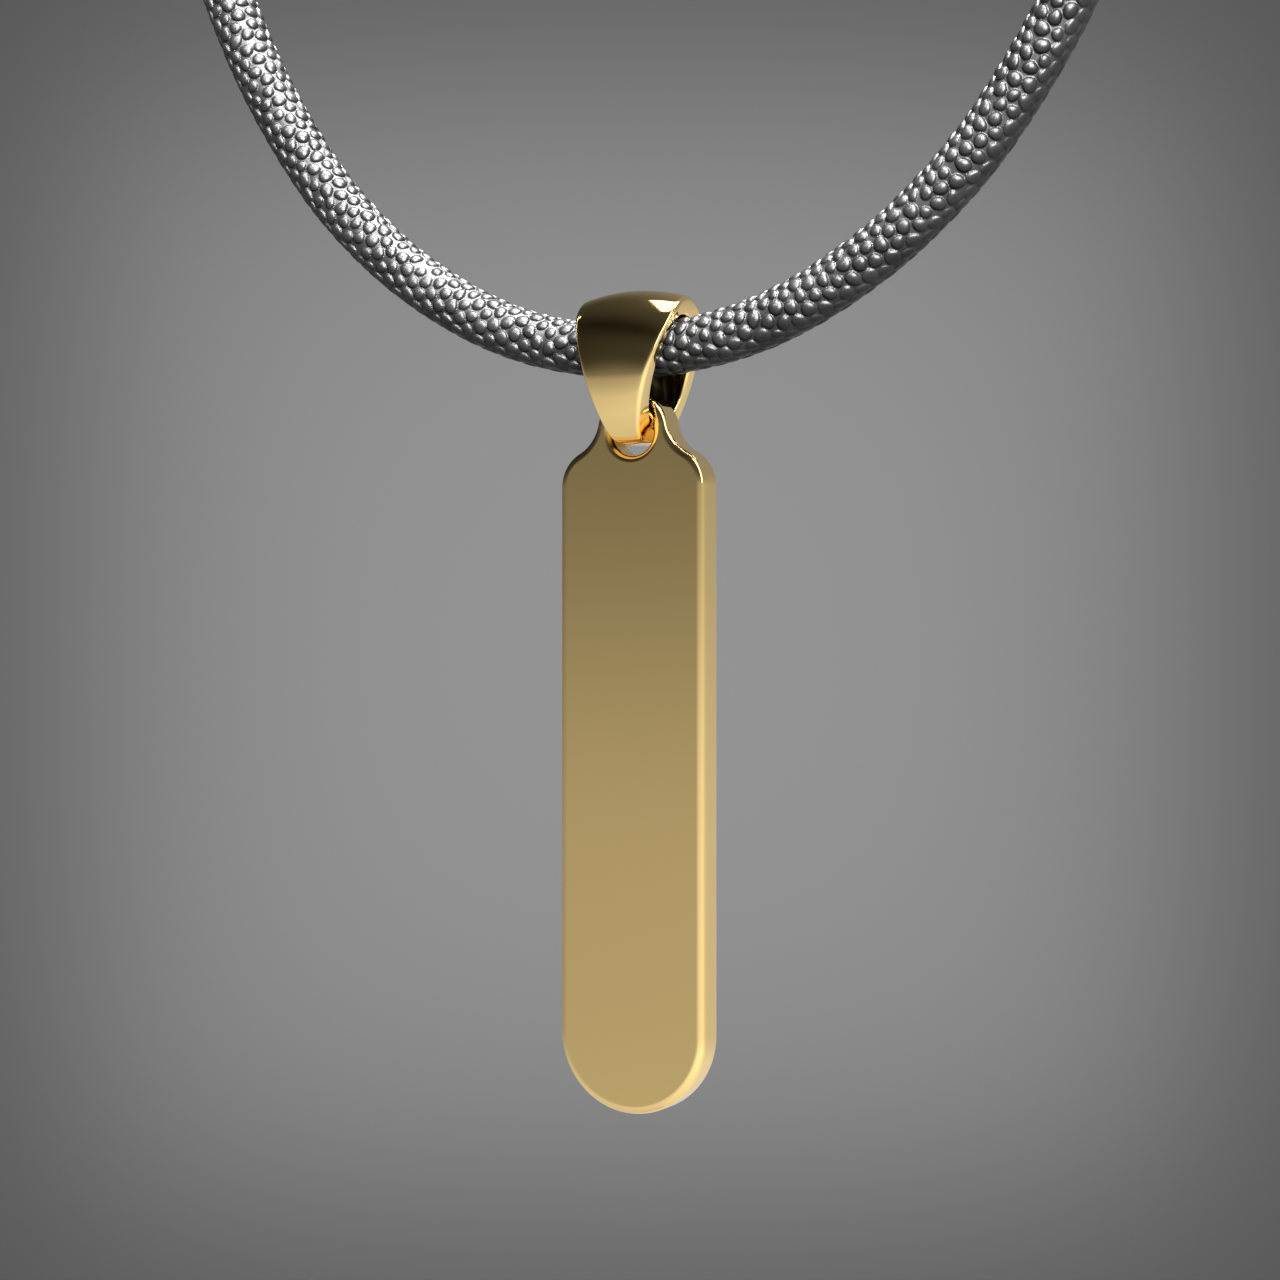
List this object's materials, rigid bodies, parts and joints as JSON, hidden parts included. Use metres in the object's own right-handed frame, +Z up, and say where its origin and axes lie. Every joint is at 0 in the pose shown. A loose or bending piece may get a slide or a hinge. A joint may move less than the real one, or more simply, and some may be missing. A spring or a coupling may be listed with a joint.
{
  "type": "pendant necklace",
  "caption": "Polished gold bar pendant with a round lower end, hung by its eye from a tapered bail on a thick pebbled leather cord with a barrel clasp.",
  "frame": {"origin": "the point at the top of the loop, under the clasp, that rests on the back of the neck", "axes": "X across the plate, Y from the front of the plate to its back, Z up"},
  "size_m": [0.1318, 0.0064, 0.1989],
  "materials": {
    "plate": "polished, gold plated",
    "bail": "polished, gold plated",
    "cord": "glossy pebbled grain",
    "clasp": "polished, gold plated"
  },
  "bodies": {
    "loop": {"cord": "cord", "clasp": "clasp"},
    "bail": {"bail": "bail"},
    "plate": {"plate": "plate"}
  },
  "joints": [
    {"name": "bail_swing", "type": "hinge", "parent": "loop", "child": "bail", "pos_m": [0, 0, -0.15225], "axis": [1, 0, 0], "range_deg": [-90, 90]},
    {"name": "plate_swing", "type": "hinge", "parent": "bail", "child": "plate", "pos_m": [0, 0, -0.15668], "axis": [0, 1, 0], "range_deg": [-60, 60]}
  ]
}
